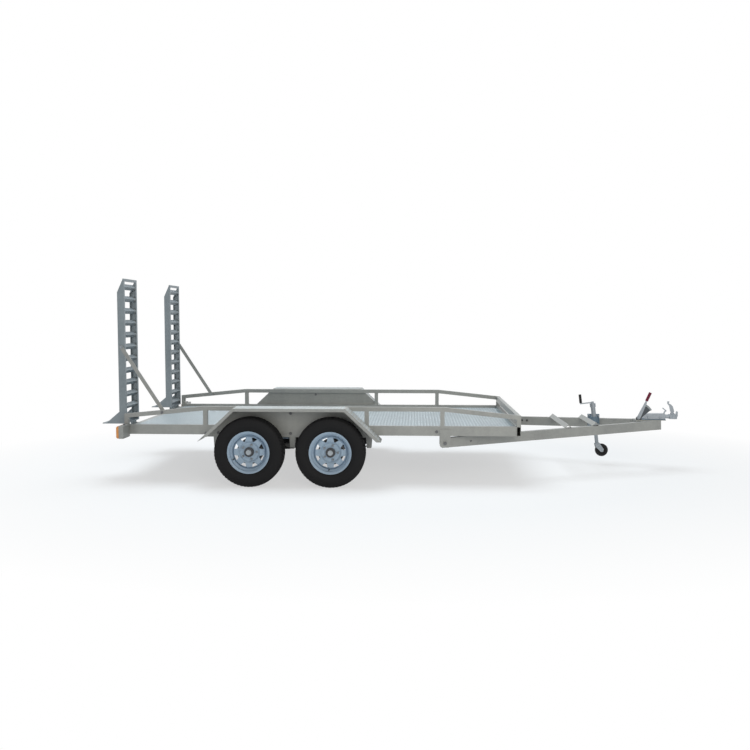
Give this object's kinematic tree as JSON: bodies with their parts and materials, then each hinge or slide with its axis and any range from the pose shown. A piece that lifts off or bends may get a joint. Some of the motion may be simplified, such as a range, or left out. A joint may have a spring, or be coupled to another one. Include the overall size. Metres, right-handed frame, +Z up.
{
  "type": "tandem-axle car trailer",
  "caption": "Galvanised flat-bed tilt trailer with leaf-sprung tandem wheels, A-frame drawbar, jockey wheel, over-run coupling and upright ladder ramps.",
  "frame": {"origin": "on the ground under the middle of the overall length, on the centreline", "axes": "+X forward to the coupling, +Y to the trailer's left, +Z up"},
  "size_m": [5.723, 2.45, 1.938],
  "materials": {
    "galvanised": "hot-dip galvanised, matt",
    "checker_plate": "galvanised tread plate",
    "black_springs": "satin black",
    "axle_steel": "dull grey",
    "amber_lens": "clear amber",
    "tyre": "matt black",
    "rim_paint": "satin light blue-grey",
    "hub_black": "black with a grey cap",
    "blue_grey_paint": "satin dark blue-grey",
    "zinc": "zinc plated",
    "black_grip": "matt",
    "black_rubber": "matt",
    "red_grip": "matt dark red",
    "dark_plate": "satin black"
  },
  "bodies": {
    "chassis": {"side_rail_right": "galvanised", "side_rail_left": "galvanised", "front_cross_tube": "galvanised", "rear_cross_tube": "galvanised", "floor_cross_members": "galvanised", "deck_plate": "checker_plate", "guard_rail_right": "galvanised", "guard_rail_left": "galvanised", "guard_posts": "galvanised", "front_rail": "galvanised", "mudguard_right": "galvanised", "mudguard_left": "galvanised", "mudguard_skirts": "galvanised", "spring_hangers": "galvanised", "leaf_springs": "black_springs", "equalisers": "black_springs", "axles": "axle_steel", "tilt_hinge_brackets": "galvanised", "ramp_hinge_lugs": "galvanised", "light_boxes": "galvanised", "light_lenses": "amber_lens"},
    "drawbar": {"drawbar_arm_right": "galvanised", "drawbar_arm_left": "galvanised", "nose_plate": "galvanised", "drawbar_cross_angles": "galvanised", "jockey_clamp": "blue_grey_paint", "coupling_body": "zinc", "brake_quadrant": "dark_plate"},
    "jockey_mast": {"jockey_tube": "zinc"},
    "jockey_crank": {"jockey_crank": "zinc", "jockey_crank_grip": "black_grip"},
    "jockey_leg": {"jockey_leg": "zinc"},
    "jockey_fork": {"jockey_fork": "zinc"},
    "jockey_wheel": {"jockey_wheel": "black_rubber"},
    "coupling_head": {"coupling_head": "zinc"},
    "coupling_latch": {"coupling_latch": "zinc"},
    "brake_lever": {"brake_lever": "zinc", "brake_grip": "red_grip"},
    "ramp_right": {"ramp_right": "galvanised"},
    "ramp_left": {"ramp_left": "galvanised"},
    "ramp_stay_right": {"ramp_stay_right": "galvanised"},
    "ramp_stay_left": {"ramp_stay_left": "galvanised"},
    "wheel_front_right": {"tyre_front_right": "tyre", "rim_front_right": "rim_paint", "hub_front_right": "hub_black"},
    "wheel_front_left": {"tyre_front_left": "tyre", "rim_front_left": "rim_paint", "hub_front_left": "hub_black"},
    "wheel_rear_right": {"tyre_rear_right": "tyre", "rim_rear_right": "rim_paint", "hub_rear_right": "hub_black"},
    "wheel_rear_left": {"tyre_rear_left": "tyre", "rim_rear_left": "rim_paint", "hub_rear_left": "hub_black"}
  },
  "joints": [
    {"name": "wheel_front_right_spin", "type": "hinge", "parent": "chassis", "child": "wheel_front_right", "pos_m": [-0.64, -1.131, 0.325], "axis": [0, 1, 0], "continuous": true},
    {"name": "wheel_front_left_spin", "type": "hinge", "parent": "chassis", "child": "wheel_front_left", "pos_m": [-0.64, 1.131, 0.325], "axis": [0, 1, 0], "continuous": true},
    {"name": "wheel_rear_right_spin", "type": "hinge", "parent": "chassis", "child": "wheel_rear_right", "pos_m": [-1.397, -1.131, 0.325], "axis": [0, 1, 0], "continuous": true},
    {"name": "wheel_rear_left_spin", "type": "hinge", "parent": "chassis", "child": "wheel_rear_left", "pos_m": [-1.397, 1.131, 0.325], "axis": [0, 1, 0], "continuous": true},
    {"name": "ramp_right_hinge", "type": "hinge", "parent": "chassis", "child": "ramp_right", "pos_m": [-2.6565, -0.7415, 0.512], "axis": [0, -1, 0], "range_deg": [0, 111.3]},
    {"name": "ramp_stay_right_pivot", "type": "hinge", "parent": "ramp_right", "child": "ramp_stay_right", "pos_m": [-2.664, -0.9325, 1.287], "axis": [0, 1, 0], "range_deg": [0, 32.9]},
    {"name": "ramp_left_hinge", "type": "hinge", "parent": "chassis", "child": "ramp_left", "pos_m": [-2.6565, 0.7415, 0.512], "axis": [0, -1, 0], "range_deg": [0, 111.3]},
    {"name": "ramp_stay_left_pivot", "type": "hinge", "parent": "ramp_left", "child": "ramp_stay_left", "pos_m": [-2.664, 0.9325, 1.287], "axis": [0, 1, 0], "range_deg": [0, 32.9]},
    {"name": "drawbar_tilt", "type": "hinge", "parent": "chassis", "child": "drawbar", "pos_m": [0.4195, 0, 0.395], "axis": [0, 1, 0], "range_deg": [0, 12]},
    {"name": "jockey_mast_slide", "type": "slide", "parent": "drawbar", "child": "jockey_mast", "axis": [-0.1219, 0, 0.9925], "range_m": [0, 0.07]},
    {"name": "jockey_crank_turn", "type": "hinge", "parent": "jockey_mast", "child": "jockey_crank", "pos_m": [2.02581, 0.178, 0.66552], "axis": [-0.1219, 0, 0.9925], "continuous": true},
    {"name": "jockey_leg_screw", "type": "slide", "parent": "jockey_mast", "child": "jockey_leg", "axis": [0.1219, 0, -0.9925], "range_m": [-0.055, 0.09]},
    {"name": "jockey_fork_swivel", "type": "hinge", "parent": "jockey_leg", "child": "jockey_fork", "pos_m": [2.07618, 0.178, 0.25526], "axis": [-0.1219, 0, 0.9925], "continuous": true},
    {"name": "jockey_wheel_spin", "type": "hinge", "parent": "jockey_fork", "child": "jockey_wheel", "pos_m": [2.12807, 0.178, 0.16087], "axis": [0, 1, 0], "continuous": true},
    {"name": "coupling_override_slide", "type": "slide", "parent": "drawbar", "child": "coupling_head", "axis": [1, 0, 0], "range_m": [-0.042, 0]},
    {"name": "coupling_latch_pivot", "type": "hinge", "parent": "coupling_head", "child": "coupling_latch", "pos_m": [2.8085, 0, 0.57888], "axis": [0, -1, 0], "range_deg": [0, 35]},
    {"name": "brake_lever_pivot", "type": "hinge", "parent": "drawbar", "child": "brake_lever", "pos_m": [2.4485, -0.064, 0.53638], "axis": [0, 1, 0], "range_deg": [0, 30]}
  ]
}
